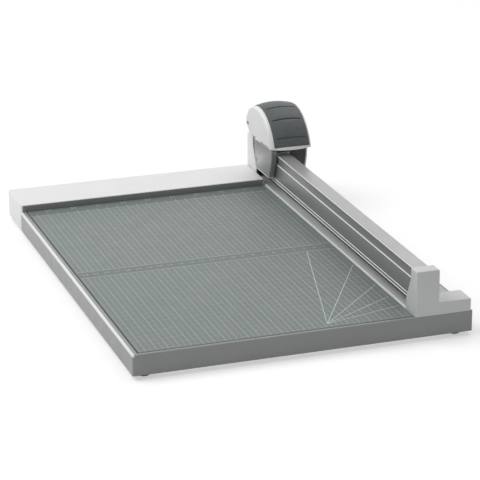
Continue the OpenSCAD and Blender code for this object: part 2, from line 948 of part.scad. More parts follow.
// Rubber strip under the rail, with two soft lips and a tongue in the rail's groove
module clamp_strip() {
    mid = rail_x + rail_w / 2;
    left = mid - clamp_w / 2;
    right = mid + clamp_w / 2;
    color(black)
        on_base()
            along_y(front_post_foot + clamp_end_gap, base_d - front_post_foot - rear_post_foot - 2 * clamp_end_gap)
                polygon([
                    [left, rail_z],
                    [left + clamp_taper, clamp_bottom],
                    [mid - clamp_groove, clamp_bottom],
                    [mid, clamp_bottom + clamp_groove],
                    [mid + clamp_groove, clamp_bottom],
                    [right - clamp_taper, clamp_bottom],
                    [right, rail_z],
                    [mid + clamp_tongue_w / 2, rail_z],
                    [mid + clamp_tongue_w / 2, rail_z + clamp_tongue_h],
                    [mid - clamp_tongue_w / 2, rail_z + clamp_tongue_h],
                    [mid - clamp_tongue_w / 2, rail_z]
                ]);
}

// Block that lies on the rail and reaches down its right side
module carriage_block() {
    pocket_floor = carriage_top - spring_pocket_depth;
    color(black)
        on_base()
            difference() {
                along_y(carriage_y, carriage_l)
                    difference() {
                        polygon([
                            [carriage_x, carriage_under],
                            [leg_x, carriage_under],
                            [leg_x, leg_bottom],
                            [leg_end_x - base_wall, leg_bottom],
                            [leg_end_x, leg_bottom + base_wall],
                            [leg_end_x, carriage_top],
                            [carriage_x, carriage_top]
                        ]);
                        corner_bite([leg_end_x, carriage_top], -1, -1, post_edge_r);
                        corner_bite([carriage_x, carriage_top], 1, -1, post_edge_r);
                    }
                for (place = press_pin_places) {
                    translate([place.x, place.y, pocket_floor])
                        cylinder(h = spring_pocket_depth + cut, r = press_spring_r + spring_wire_r + spring_fit);
                    translate([place.x, place.y, leg_bottom + press_pin_foot])
                        cylinder(h = carriage_top, r = press_pin_r);
                }
                slider_cut(0);
                glide_cut();
            }
}

// Seats of the two T sliders in the carriage's leg
module slider_cut(fit) {
    for (y = slider_places)
        translate([leg_x - cut, y - fit, rail_z + slot_z + glide_gap - fit])
            cube([slider_seat + cut, slider_l + 2 * fit, slot_mouth - 2 * glide_gap + 2 * fit]);
}

slider_places = [
    carriage_y + slider_inset,
    carriage_y + carriage_l - slider_inset - slider_l
];

// Seat of the glides in the carriage, on top of the rail and down its right edge
module glide_cut() {
    translate([carriage_x + fine_step, carriage_y - cut, glide_bottom])
        cube([leg_x - carriage_x - fine_step + glide_t / 2, carriage_l + 2 * cut, glide_t]);
    translate([rail_end_x + glide_gap, carriage_y - cut, rail_top - glide_drop])
        cube([leg_x + glide_t / 2 - rail_end_x - glide_gap, carriage_l + 2 * cut, glide_drop + glide_gap + glide_t]);
}

glide_drop = 8;

// Slippery angle strips on the rail's top and right edge
module glide_strip() {
    color(white)
        on_base()
            along_y(carriage_y, carriage_l)
                polygon([
                    [carriage_x + fine_step, glide_bottom],
                    [rail_end_x + glide_gap, glide_bottom],
                    [rail_end_x + glide_gap, rail_top - glide_drop],
                    [leg_x + glide_t / 2, rail_top - glide_drop],
                    [leg_x + glide_t / 2, glide_bottom + glide_t],
                    [carriage_x + fine_step, glide_bottom + glide_t]
                ]);
}

// T sliders in the rail's slot, which keep the carriage on the rail
module slot_sliders() {
    z0 = rail_z + slot_z + glide_gap;
    z1 = rail_z + slot_z + slot_mouth - glide_gap;
    head_x0 = rail_end_x - slot_depth + glide_gap;
    head_x1 = rail_end_x - slot_lip - glide_gap;
    color(white)
        on_base()
            for (y = slider_places)
                along_y(y, slider_l)
                    polygon([
                        [leg_x + slider_seat, z0],
                        [leg_x + slider_seat, z1],
                        [head_x1, z1],
                        [head_x1, z1 + slot_undercut],
                        [head_x0, z1 + slot_undercut],
                        [head_x0, z0 - slot_undercut],
                        [head_x1, z0 - slot_undercut],
                        [head_x1, z0]
                    ]);
}

// Steel pins that stand in the carriage and guide the head up and down
module press_pins() {
    foot_z = leg_bottom + press_pin_foot;
    color(steel)
        on_base()
            for (place = press_pin_places)
                translate([place.x, place.y, foot_z])
                    cylinder(h = bush_z + bush_l - press_pin_under - foot_z, r = press_pin_r);
}

module press_springs() {
    color(steel)
        on_base()
            for (place = press_pin_places)
                translate([place.x, place.y, carriage_top - spring_pocket_depth])
                    coil_spring(press_spring_r, spring_wire_r, 6, spring_pocket_depth + press_stroke + work_gap);
}

// Radius of the dome's crown, above its edges, at a share of its width
function crown(share) = dome_crown * (1 - pow(2 * share - 1, 2));

// Outline of the dome from its axis out, as radius and place across; side and top are how far
// it lies inside the outer surface
function dome_outline(r, side, top) = concat(
    [[0, head_x + side]],
    [
        for (i = [0:round_steps])
            let (a = 90 * i / round_steps)
                [
                    r - left_round_h + (left_round_h - top) * sin(a),
                    head_x + left_round_w - (left_round_w - side) * cos(a)
                ]
    ],
    [
        for (i = [1:crown_steps - 1])
            let (share = i / crown_steps)
                [r - top + crown(share), crown_x0 + share * (crown_x1 - crown_x0)]
    ],
    [
        for (i = [0:round_steps])
            let (a = 90 * i / round_steps)
                [
                    r - right_round_h - top + right_round_h * cos(a),
                    crown_x1 + (right_round_w - side) * sin(a)
                ]
    ],
    [[0, head_end_x - side]]
);

// Band of the dome's surface between two insets and two places across
function dome_band(r, outer, inner, x0, x1) = concat(
    [for (i = [0:crown_steps]) band_point(r, outer, x0 + (x1 - x0) * i / crown_steps)],
    [for (i = [crown_steps:-1:0]) band_point(r, inner, x0 + (x1 - x0) * i / crown_steps)]
);
function band_point(r, inset, x) = [r - inset + crown((x - crown_x0) / (crown_x1 - crown_x0)), x];

// Turns an outline about an axis along X, between two directions from +Y up; up is how far the
// axis lies from the dome's own, towards dome_join
module turned(up, from, to) {
    translate([0, dome_y, dome_z])
        rotate([dome_join - 90, 0, 0])
            translate([0, 0, up])
                rotate([90, 0, 90])
                    rotate([0, 0, 90 + from - dome_join])
                        rotate_extrude(angle = to - from, $fn = 96)
                            children();
}

// The dome: the front arc and the tighter back arc meet at dome_join
module dome_solid(side, top) {
    turned(0, dome_join, dome_front_angle)
        polygon(dome_outline(dome_r, side, top));
    turned(dome_r - dome_back_r, dome_back_angle - dome_run_on, dome_join + dome_run_on)
        polygon(dome_outline(dome_back_r - dome_step, side, top));
}

// Everything below the covers' lower edge, seen from the side; the edge steps up by rise to
// pass over the rear post
module below_covers(x, w, rise) {
    front_y = dome_y - dome_r - dome_crown;
    step_y = blade_y + over_post_back;
    chamfer_y = back_y + chamfer_back;
    along_x(x, w)
        polygon([
            [front_y - cut, lip_z],
            [front_y + lip_l, lip_z],
            [front_y + lip_l + lip_slope_l, side_z],
            [step_y - over_post_l, side_z],
            [step_y, side_z + rise],
            [chamfer_y + chamfer_l * rise / chamfer_h, side_z + rise],
            [chamfer_y + chamfer_l, side_z + chamfer_h],
            [base_d, side_z + chamfer_h],
            [base_d, 0],
            [front_y - cut, 0]
        ]);
}

// Shell that both covers are halves of
module cover_shell() {
    post_cut_x = post_x - work_gap;
    difference() {
        dome_solid(0, 0);
        dome_solid(cover_wall, cover_top_wall);
        turned(0, grip_back_angle - grip_fit, grip_front_angle + grip_fit)
            polygon(dome_band(dome_r, -cut, grip_t - grip_proud + grip_seat_gap, crown_x0, crown_x1));
        below_covers(head_x - cut, head_w + 2 * cut, 0);
        below_covers(post_cut_x, head_end_x - post_cut_x + cut, over_post_z - side_z);
    }
}

// Skirt that hangs down on the right, in line with the blade guard on the left
module right_skirt() {
    along_x(head_end_x - skirt_inset - skirt_t, skirt_t)
        polygon([
            [blade_y - skirt_front_top, side_z + cover_wall],
            [blade_y - skirt_front_bend, skirt_bend_z],
            [blade_y - skirt_front_foot, skirt_z],
            [blade_y + skirt_back_foot, skirt_z],
            [blade_y + skirt_back_bend, skirt_bend_z],
            [blade_y + skirt_back_top, side_z + cover_wall]
        ]);
}

module left_cover() {
    color(white)
        on_base()
            difference() {
                intersection() {
                    cover_shell();
                    translate([head_x - cut, 0, 0])
                        cube([split_x - head_x + cut, base_d + dome_r, 2 * blade_z + dome_r]);
                }
                cover_screw_hole(head_x - cut);
            }
}

module right_cover() {
    color(white)
        on_base()
            difference() {
                union() {
                    intersection() {
                        cover_shell();
                        translate([split_x, 0, 0])
                            cube([head_end_x - split_x + cut, base_d + dome_r, 2 * blade_z + dome_r]);
                    }
                    right_skirt();
                }
                cover_screw_hole(split_x + head_w / 4);
            }
}

// Hole for a cover screw, through whatever lies right of x
module cover_screw_hole(x) {
    translate([x, cross_boss_y, cross_boss_z])
        rotate([0, 90, 0])
            cylinder(h = head_w / 3, r = cover_screw_r);
}

// Dark screws at the back of each cover, into the frame's cross boss
module cover_screws() {
    color(black)
        on_base()
            for (x = [head_x + fine_step, head_end_x - fine_step - screw_bite])
                translate([x, cross_boss_y, cross_boss_z])
                    rotate([0, 90, 0])
                        cylinder(h = screw_bite, r = cover_screw_r);
}

// Rubber pad let into the covers, with three grooves across it
module grip_pad() {
    x0 = crown_x0 + grip_fit;
    x1 = crown_x1 - grip_fit;
    color(black)
        on_base()
            difference() {
                turned(0, grip_back_angle, grip_front_angle)
                    polygon(dome_band(dome_r, -grip_proud, grip_t - grip_proud, x0, x1));
                for (a = grip_groove_angles)
                    turned(0, a - grip_groove_span / 2, a + grip_groove_span / 2)
                        polygon(dome_band(
                            dome_r,
                            -cut,
                            grip_groove_depth - grip_proud,
                            x0 + grip_groove_margin,
                            x1 - grip_groove_margin
                        ));
            }
}

// Frame inside the head: a plate shaped to the covers, the bush bosses, the web that holds the
// blade carrier, and the cross boss for the cover screws
module head_frame() {
    bush_r = press_pin_r + pin_clearance + bush_wall;
    web_z = blade_z + carrier_shoulder;
    color(dark_grey)
        on_base()
            difference() {
                intersection() {
                    dome_solid(cover_wall + frame_fit, cover_top_wall + frame_fit);
                    union() {
                        translate([head_x, dome_y - dome_r, frame_z])
                            cube([head_w, 2 * dome_r, frame_t]);
                        for (place = press_pin_places)
                            translate([place.x, place.y, bush_z])
                                cylinder(h = bush_l, r = bush_r + boss_wall);
                        translate([carrier_x + carrier_t, blade_y - web_half_l, web_z])
                            cube([web_t, 2 * web_half_l, frame_z + frame_t / 2 - web_z]);
                        translate([head_x, cross_boss_y, cross_boss_z])
                            rotate([0, 90, 0])
                                cylinder(h = head_w, r = cross_boss_r);
                    }
                }
                for (place = press_pin_places)
                    translate([place.x, place.y, bush_z - cut])
                        cylinder(h = bush_l + 2 * cut, r = bush_r);
                for (x = [head_x + fine_step, head_end_x - fine_step - screw_bite])
                    translate([x, cross_boss_y, cross_boss_z])
                        rotate([0, 90, 0])
                            cylinder(h = screw_bite, r = cover_screw_r);
                for (place = carrier_screw_places)
                    translate([carrier_x, place.x, place.y])
                        rotate([0, 90, 0])
                            cylinder(h = carrier_t + web_t + cut, r = pilot_r);
            }
}

// Plain bushes in the frame, which run on the press pins
module press_bushes() {
    color(alloy)
        on_base()
            for (place = press_pin_places)
                translate([place.x, place.y, bush_z])
                    difference() {
                        cylinder(h = bush_l, r = press_pin_r + pin_clearance + bush_wall);
                        translate([0, 0, -cut])
                            cylinder(h = bush_l + 2 * cut, r = press_pin_r + pin_clearance);
                    }
}

// One edge of the guard, seen from the side: side is -1 for the front and 1 for the back
function guard_edge(shares, side, inset, over) = [
    for (share = shares)
        let (past = share[0] == 0 ? -over : share[0] == 1 ? over : 0)
            [blade_y + side * (share[1] * blade_r - inset), guard_z + share[0] * guard_h + past]
];

// Outline of the guard from the side; inset draws its ends in, over makes it overrun up and down
module guard_outline(inset, over) {
    front = guard_edge(guard_front_shares, -1, inset, over);
    back = guard_edge(guard_back_shares, 1, inset, over);
    last = len(back) - 1;
    polygon(concat(front, [for (i = [0:last]) back[last - i]]));
}

// Smoky clear guard: a side plate with returns in front and behind, open to the rail
module blade_guard() {
    inner_x = guard_x + guard_wall;
    color(smoke)
        on_base()
            difference() {
                union() {
                    intersection() {
                        along_x(guard_x, guard_return)
                            guard_outline(0, 0);
                        translate([0, 0, -work_gap])
                            below_covers(guard_x - cut, guard_return + 2 * cut, 0);
                    }
                    along_x(guard_x - guard_rim_w, guard_rim_w)
                        intersection() {
                            guard_outline(0, 0);
                            translate([0, guard_z])
                                square([base_d, guard_rim_h]);
                        }
                }
                along_x(inner_x, guard_return)
                    intersection() {
                        guard_outline(guard_wall, cut);
                        square([base_d, blade_z + carrier_shoulder]);
                    }
                along_x(inner_x + guard_top_w, guard_return)
                    guard_outline(guard_wall, cut);
                clip_wedge(guard_x - cut, guard_wall + cut, cut);
            }
}

// Wedge at the guard's top edge; over makes it overrun upwards
module clip_wedge(x, w, over) {
    along_x(x, w)
        polygon([
            [blade_y + clip_front, guard_top - clip_front_h],
            [blade_y + clip_back, guard_top - clip_back_h],
            [blade_y + clip_back, guard_top + over],
            [blade_y + clip_front, guard_top + over]
        ]);
}

// Pale clip let into the guard's top edge
module guard_clip() {
    color(pale_grey)
        on_base()
            clip_wedge(guard_x - guard_rim_w, guard_wall + guard_rim_w, 0);
}

carrier_screw_places = [
    for (side = [-1, 1])
        [blade_y + side * carrier_screw_out, carrier_top - carrier_screw_below]
];

// Steel plate that hangs from the frame and carries the blade's axle
module blade_carrier() {
    color(steel)
        on_base()
            difference() {
                union() {
                    translate([carrier_x, blade_y, blade_z])
                        rotate([0, 90, 0])
                            cylinder(h = carrier_t, r = carrier_eye_r);
                    along_x(carrier_x, carrier_t)
                        polygon([
                            [blade_y - axle_head_r, blade_z + axle_head_r],
                            [blade_y - carrier_half_w, blade_z + carrier_shoulder],
                            [blade_y - carrier_half_w, carrier_top],
                            [blade_y + carrier_half_w, carrier_top],
                            [blade_y + carrier_half_w, blade_z + carrier_shoulder],
                            [blade_y + axle_head_r, blade_z + axle_head_r]
                        ]);
                }
                translate([carrier_x - cut, blade_y, blade_z])
                    rotate([0, 90, 0])
                        cylinder(h = carrier_t + 2 * cut, r = axle_r);
                for (place = carrier_screw_places) {
                    translate([carrier_x, place.x, place.y])
                        rotate([0, 90, 0])
                            cylinder(h = carrier_t, r1 = countersink_r, r2 = pilot_r);
                    translate([carrier_x - cut, place.x, place.y])
                        rotate([0, 90, 0])
                            cylinder(h = carrier_t + 2 * cut, r = pilot_r);
                }
            }
}

// Countersunk screws that lie flush in the carrier
module carrier_screws() {
    color(black)
        on_base()
            for (place = carrier_screw_places)
                translate([carrier_x, place.x, place.y])
                    rotate([0, 90, 0])
                        union() {
                            cylinder(h = carrier_t, r1 = countersink_r, r2 = pilot_r);
                            cylinder(h = carrier_t + web_t, r = pilot_r);
                        }
}

// Stub axle riveted in the carrier; its thin head keeps the hub on
module blade_axle() {
    color(steel)
        on_base()
            translate([carrier_x, blade_y, blade_z])
                rotate([0, 90, 0])
                    union() {
                        cylinder(h = hub_nose_end - carrier_x, r = axle_r);
                        translate([0, 0, hub_nose_end - axle_head_t - carrier_x])
                            cylinder(h = axle_head_t, r = axle_head_r);
                    }
}

module axle_washer() {
    color(steel)
        on_base()
            translate([carrier_x + carrier_t, blade_y, blade_z])
                rotate([0, 90, 0])
                    difference() {
                        cylinder(h = washer_t, r = axle_head_r);
                        translate([0, 0, -cut])
                            cylinder(h = washer_t + 2 * cut, r = axle_r);
                    }
}

// Round steel blade with a bevel on both sides of its edge
module blade_disc() {
    color(steel)
        on_base()
            translate([blade_left, blade_y, blade_z])
                rotate([0, 90, 0])
                    difference() {
                        rotate_extrude($fn = 128)
                            polygon([
                                [hub_nose_r, 0],
                                [blade_r - blade_bevel, 0],
                                [blade_r, 0.4 * blade_t],
                                [blade_r, 0.6 * blade_t],
                                [blade_r - blade_bevel, blade_t],
                                [hub_nose_r, blade_t]
                            ]);
                        rivet_shanks(-cut, blade_t + 2 * cut);
                    }
}

// Shanks of the rivets that hold blade and hub together
module rivet_shanks(z, l) {
    for (i = [0:rivet_count - 1])
        rotate([0, 0, 360 * i / rivet_count])
            translate([rivet_circle_r, 0, z])
                cylinder(h = l, r = rivet_r);
}

// Plastic hub that turns on the axle
module blade_hub() {
    nose_l = hub_nose_end - blade_left + hub_t;
    color(black)
        on_base()
            translate([blade_left - hub_t, blade_y, blade_z])
                rotate([0, 90, 0])
                    difference() {
                        union() {
                            cylinder(h = hub_t, r = hub_r);
                            cylinder(h = nose_l, r = hub_nose_r);
                        }
                        translate([0, 0, -cut])
                            cylinder(h = nose_l + 2 * cut, r = axle_r + axle_clearance);
                        translate([0, 0, nose_l - axle_head_t - 2 * axle_clearance])
                            cylinder(h = hub_t, r = axle_head_r + 2 * axle_clearance);
                        rivet_shanks(-cut, hub_t + 2 * cut);
                    }
}

module hub_rivets() {
    color(steel)
        on_base()
            translate([blade_left - hub_t, blade_y, blade_z])
                rotate([0, 90, 0])
                    rivet_shanks(0, hub_t + blade_t);
}

base_tray();
bottom_plate();
cutting_mat();
cutting_strip();
deck_panel();
rear_fence();
front_post();
rear_post();
rubber_feet();
foot_screws();
plate_screws();
post_screws();
fence_screws();
guide_pins();
rail_springs();
guide_rail();
rail_end_blocks();
end_block_pins();
clamp_strip();
carriage_block();
glide_strip();
slot_sliders();
press_pins();
press_springs();
left_cover();
right_cover();
grip_pad();
head_frame();
press_bushes();
cover_screws();
blade_guard();
guard_clip();
blade_carrier();
carrier_screws();
blade_axle();
axle_washer();
blade_disc();
blade_hub();
hub_rivets();
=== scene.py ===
# Rotary paper trimmer: finishes, the mat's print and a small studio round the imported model.
# Metres, in the model's own frame: +X right across the cut line, +Y back, +Z up.
import math

import bpy
from mathutils import Matrix, Vector


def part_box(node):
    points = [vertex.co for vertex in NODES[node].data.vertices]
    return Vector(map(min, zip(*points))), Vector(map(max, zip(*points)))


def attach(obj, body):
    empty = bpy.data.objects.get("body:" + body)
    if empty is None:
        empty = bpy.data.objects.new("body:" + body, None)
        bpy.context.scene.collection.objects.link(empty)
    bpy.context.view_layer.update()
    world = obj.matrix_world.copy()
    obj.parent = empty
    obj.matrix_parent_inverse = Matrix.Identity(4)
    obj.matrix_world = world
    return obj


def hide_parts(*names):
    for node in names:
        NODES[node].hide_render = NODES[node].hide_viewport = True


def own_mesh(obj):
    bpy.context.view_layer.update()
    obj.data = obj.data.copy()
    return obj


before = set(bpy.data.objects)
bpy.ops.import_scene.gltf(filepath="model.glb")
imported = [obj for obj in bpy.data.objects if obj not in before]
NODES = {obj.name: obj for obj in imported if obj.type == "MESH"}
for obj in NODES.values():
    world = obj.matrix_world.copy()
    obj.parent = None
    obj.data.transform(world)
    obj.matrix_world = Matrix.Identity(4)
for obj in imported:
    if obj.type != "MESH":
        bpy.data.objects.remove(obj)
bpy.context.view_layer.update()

MM = 0.001

# Corners of the nodes that tones and print are placed from
BASE_LOW, BASE_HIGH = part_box("base_tray")
MAT_LOW, MAT_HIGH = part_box("cutting_mat")
BLADE_LOW, BLADE_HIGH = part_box("blade_disc")
GUARD_LOW, GUARD_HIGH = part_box("blade_guard")
FENCE_LOW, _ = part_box("rear_fence")
STRIP_LOW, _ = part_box("cutting_strip")
RAIL_LOW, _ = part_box("guide_rail")


# Colours

# Tints in red, green and blue, in steps of a screen grey
NEUTRAL = (0, 0, 0)
COOL = (-1, 0, 1)
GRAPHITE = (-4, 1, 4)
GREEN = (-5, 4, 2)
BRONZE = (18, 0, -44)

# The standard screen curve: a straight foot, and a power above it
SCREEN_WHITE = 255
CURVE_FOOT = 0.04045
FOOT_SLOPE = 12.92
CURVE_OFFSET = 0.055
CURVE_POWER = 2.4


def screen_to_linear(value):
    """Linear light of a screen value, both from 0 to 1."""
    if value <= CURVE_FOOT:
        return value / FOOT_SLOPE
    return ((value + CURVE_OFFSET) / (1 + CURVE_OFFSET)) ** CURVE_POWER


def grey(level, tint=NEUTRAL):
    """Linear colour of a screen grey from 0 to 255, with a small tint added."""
    return tuple(screen_to_linear((level + step) / SCREEN_WHITE) for step in tint) + (1.0,)


HIGHLIGHT = grey(252)


# Node building

def node(tree, kind, **values):
    """A node with its settings and its inputs by name: a socket is linked, a value is set."""
    made = tree.nodes.new(kind)
    for key, value in values.items():
        name = key.replace("_", " ")
        if name not in made.inputs.keys():
            setattr(made, key, value)
        elif isinstance(value, bpy.types.NodeSocket):
            tree.links.new(value, made.inputs[name])
        else:
            made.inputs[name].default_value = value
    return made


def new_material(name):
    """A node material, with its tree and its shader."""
    material = bpy.data.materials.new(name)
    material.use_nodes = True
    tree = material.node_tree
    return material, tree, tree.nodes["Principled BSDF"]


def object_place(tree, stretch=(1, 1, 1)):
    """Object coordinates in millimetres, with a stretch for drawn or ground grain."""
    place = node(tree, "ShaderNodeTexCoord")
    scale = [along / MM for along in stretch]
    return node(tree, "ShaderNodeMapping", Vector=place.outputs["Object"], Scale=scale).outputs["Vector"]


def axis_places(tree):
    """Object coordinates along X, Y and Z, in metres."""
    place = node(tree, "ShaderNodeTexCoord")
    return node(tree, "ShaderNodeSeparateXYZ", Vector=place.outputs["Object"]).outputs


def face_direction(tree):
    """How far a surface faces along X, Y and Z, from -1 to 1."""
    surface = node(tree, "ShaderNodeNewGeometry")
    return node(tree, "ShaderNodeSeparateXYZ", Vector=surface.outputs["Normal"]).outputs


def noise(tree, place, size_mm, detail, roughness=0.5):
    """Noise from 0 to 1 whose largest patches have a size in millimetres."""
    made = node(tree, "ShaderNodeTexNoise", Vector=place, Scale=1 / size_mm, Detail=detail,
                Roughness=roughness)
    return made.outputs["Fac"]


# Noise seldom leaves these limits, so they are what is spread over a drift's range
NOISE_LOW = 0.3
NOISE_HIGH = 0.7


def spread(tree, fac, low, high):
    """A noise value spread between two limits."""
    made = node(tree, "ShaderNodeMapRange", Value=fac, From_Min=NOISE_LOW, From_Max=NOISE_HIGH,
                To_Min=low, To_Max=high)
    return made.outputs["Result"]


def tone(tree, shader, fac, colour, drift):
    """Lets the colour drift lighter and darker by a share of itself, as the noise goes."""
    darker = [channel * (1 - drift) for channel in colour[:3]] + [1]
    lighter = [min(1, channel * (1 + drift)) for channel in colour[:3]] + [1]
    mix = node(tree, "ShaderNodeMix", data_type="RGBA", Factor=spread(tree, fac, 0, 1), A=darker, B=lighter)
    tree.links.new(mix.outputs["Result"], shader.inputs["Base Color"])


def gloss(tree, shader, fac, roughness, below, above):
    """Lets the roughness drift below and above its own value, as the noise goes."""
    uneven = spread(tree, fac, roughness - below, roughness + above)
    tree.links.new(uneven, shader.inputs["Roughness"])


def relief(tree, shader, fac, depth_mm, strength):
    """Raises the surface's grain by a noise."""
    bump = node(tree, "ShaderNodeBump", Height=fac, Strength=strength, Distance=depth_mm * MM)
    tree.links.new(bump.outputs["Normal"], shader.inputs["Normal"])


# Masks and tones laid over a finish

SOFT_EDGE = 0.1 * MM
# How far past a face its mask reaches, so that the whole face is covered
PAST_FACE = 1 * MM


def ramp_between(tree, value, low, high):
    """0 below low and 1 above high, with a smooth step."""
    made = node(tree, "ShaderNodeMapRange", interpolation_type="SMOOTHSTEP", Value=value,
                From_Min=low, From_Max=high)
    return made.outputs["Result"]


def combined(tree, operation, first, second):
    """Two values put together by one operation: MULTIPLY holds where both masks do."""
    made = node(tree, "ShaderNodeMath", operation=operation)
    tree.links.new(first, made.inputs[0])
    tree.links.new(second, made.inputs[1])
    return made.outputs[0]


def between(tree, value, low, high, soft=SOFT_EDGE):
    """1 between two values, and 0 past a soft edge on either side."""
    risen = ramp_between(tree, value, low - soft, low)
    fallen = ramp_between(tree, value, high, high + soft)
    return combined(tree, "SUBTRACT", risen, fallen)


def near_low(tree, place, low, width, soft=SOFT_EDGE):
    """1 within a width of a node's lowest place on an axis."""
    return between(tree, place, low - PAST_FACE, low + width, soft)


def near_high(tree, place, high, width, soft=SOFT_EDGE):
    """1 within a width of a node's highest place on an axis."""
    return between(tree, place, high - width, high + PAST_FACE, soft)


def lay_tone(tree, mask, colour):
    """Lays a second tone over a finish where the mask is 1."""
    shader = tree.nodes["Principled BSDF"]
    below = shader.inputs["Base Color"].links[0].from_socket
    mix = node(tree, "ShaderNodeMix", data_type="RGBA", Factor=mask, A=below, B=colour)
    tree.links.new(mix.outputs["Result"], shader.inputs["Base Color"])


# Materials

# Widths of the tones that the photograph shows along edges
# Of these, the tray's, the strip's and the guard's edge bands carry painted light, and the fence's stop
# face painted shade
TRAY_EDGE_HIGHLIGHT = 1.6 * MM
STOP_FACE = 0.25 * MM
STRIP_EDGE_HIGHLIGHT = 0.9 * MM
RAIL_SIDE = 1.55 * MM
GUARD_EDGE = 1.0 * MM
# Heights of the painted highlight lines on the rail's ledges, above the rail's foot, in millimetres, from
# low to high
LEDGE_HIGHLIGHTS = ((0.5, 1.1), (3.3, 3.9), (19.3, 20.2), (28.2, 29.0))
RAIL_METALLIC = 0.65


def moulded(name, colour, roughness, grain_mm=0.5, grain=0.2, drift=0.04):
    """Moulded plastic: a fine spark-eroded grain, and a slow drift of tone and gloss."""
    material, tree, shader = new_material(name)
    place = object_place(tree)
    tone(tree, shader, noise(tree, place, size_mm=35, detail=3), colour, drift)
    gloss(tree, shader, noise(tree, place, size_mm=9, detail=4), roughness, below=0.05, above=0.07)
    relief(tree, shader, noise(tree, place, grain_mm, detail=2), depth_mm=0.03, strength=grain)
    return material


def rubbery(name, colour, roughness=0.72):
    """Soft rubber: matte, with a dusty sheen and a close grain."""
    material, tree, shader = new_material(name)
    place = object_place(tree)
    tone(tree, shader, noise(tree, place, size_mm=6, detail=4), colour, drift=0.12)
    gloss(tree, shader, noise(tree, place, size_mm=2.5, detail=3), roughness, below=0.08, above=0.08)
    relief(tree, shader, noise(tree, place, size_mm=0.35, detail=2), depth_mm=0.05, strength=0.35)
    shader.inputs["Sheen Weight"].default_value = 0.15
    return material


def drawn(name, colour, roughness, stretch, metallic=1.0):
    """Metal drawn or ground along the axis whose stretch is least, with fine streaks that way."""
    material, tree, shader = new_material(name)
    streaks = noise(tree, object_place(tree, stretch), size_mm=0.5, detail=3, roughness=0.6)
    cloud = noise(tree, object_place(tree), size_mm=30, detail=2)
    tone(tree, shader, cloud, colour, drift=0.05)
    gloss(tree, shader, streaks, roughness, below=0.06, above=0.1)
    relief(tree, shader, streaks, depth_mm=0.01, strength=0.2)
    shader.inputs["Metallic"].default_value = metallic
    return material


def printed_vinyl(name, colour):
    """The mat's sheet: matte, with a faint pebble and slow mottling."""
    material, tree, shader = new_material(name)
    place = object_place(tree)
    tone(tree, shader, noise(tree, place, size_mm=3, detail=5, roughness=0.65), colour, drift=0.05)
    gloss(tree, shader, noise(tree, place, size_mm=20, detail=3), roughness=0.56, below=0.06, above=0.06)
    relief(tree, shader, noise(tree, place, size_mm=0.4, detail=2), depth_mm=0.04, strength=0.3)
    return material


def plain_ink(name, colour):
    """Matte printing ink, a little uneven in how thickly it lies."""
    material, tree, shader = new_material(name)
    tone(tree, shader, noise(tree, object_place(tree), size_mm=1.5, detail=3), colour, drift=0.06)
    shader.inputs["Roughness"].default_value = 0.6
    return material


def white_plastic(name, colour, roughness):
    """Smooth white plastic with a very faint, wide ripple."""
    return moulded(name, colour, roughness, grain_mm=4, grain=0.06, drift=0.015)


def tray_plastic(name, colour, bright):
    """The tray's moulded plastic, with a painted highlight along its left top edge."""
    material = moulded(name, colour, roughness=0.4, drift=0.03)
    tree = material.node_tree
    places = axis_places(tree)
    left_edge = near_low(tree, places["X"], BASE_LOW.x, TRAY_EDGE_HIGHLIGHT, soft=0.3 * MM)
    upper_edge = near_high(tree, places["Z"], BASE_HIGH.z, TRAY_EDGE_HIGHLIGHT, soft=0.6 * MM)
    # Painted highlight: the left top edge is laid over in near-white, where light glints on the rim
    lay_tone(tree, combined(tree, "MULTIPLY", left_edge, upper_edge), bright)
    return material


def fence_plastic(name, colour, stop_face_shade):
    """The fence's white plastic, with painted shade on the stop face that the paper is laid against."""
    material = white_plastic(name, colour, roughness=0.34)
    tree = material.node_tree
    # Painted shade: the front face, which stands in shadow, is laid over in a mid grey
    lay_tone(tree, near_low(tree, axis_places(tree)["Y"], FENCE_LOW.y, STOP_FACE), stop_face_shade)
    return material


def cover_plastic(name, colour, painted_rim_highlight):
    """The covers' white plastic, with a painted highlight where the left rim rounds over towards the crest.
    """
    material = white_plastic(name, colour, roughness=0.38)
    tree = material.node_tree
    facing = face_direction(tree)
    # Painted highlight: faces turning from the left side up towards the crest are laid over in pure white
    rounding = between(tree, facing["X"], low=-0.9, high=-0.35, soft=0.1)
    upward = ramp_between(tree, facing["Z"], low=0.5, high=0.8)
    lay_tone(tree, combined(tree, "MULTIPLY", rounding, upward), painted_rim_highlight)
    return material


def strip_plastic(name, colour, bright):
    """The cutting strip's plastic, with a painted highlight along its left edge."""
    material = moulded(name, colour, roughness=0.35)
    tree = material.node_tree
    # Painted highlight: a near-white line along the strip's left edge
    lay_tone(tree, near_low(tree, axis_places(tree)["X"], STRIP_LOW.x, STRIP_EDGE_HIGHLIGHT), bright)
    return material


def rail_metal(name, colour, side_tone, bright):
    """The rail's drawn aluminium: darker along its left side, with painted highlight lines on its ledges
    there.
    """
    material = drawn(name, colour, roughness=0.34, stretch=(1, 0.02, 1), metallic=RAIL_METALLIC)
    tree = material.node_tree
    places = axis_places(tree)
    left_side = near_low(tree, places["X"], RAIL_LOW.x, RAIL_SIDE, soft=0.2 * MM)
    lay_tone(tree, left_side, side_tone)
    # Painted highlights: near-white lines at the ledges' heights on the left side, where light glints
    for low_mm, high_mm in LEDGE_HIGHLIGHTS:
        ledge_highlight = between(tree, places["Z"], RAIL_LOW.z + low_mm * MM, RAIL_LOW.z + high_mm * MM)
        lay_tone(tree, combined(tree, "MULTIPLY", ledge_highlight, left_side), bright)
    metal = node(tree, "ShaderNodeMapRange", Value=left_side, To_Min=RAIL_METALLIC, To_Max=0)
    tree.links.new(metal.outputs["Result"], tree.nodes["Principled BSDF"].inputs["Metallic"])
    return material


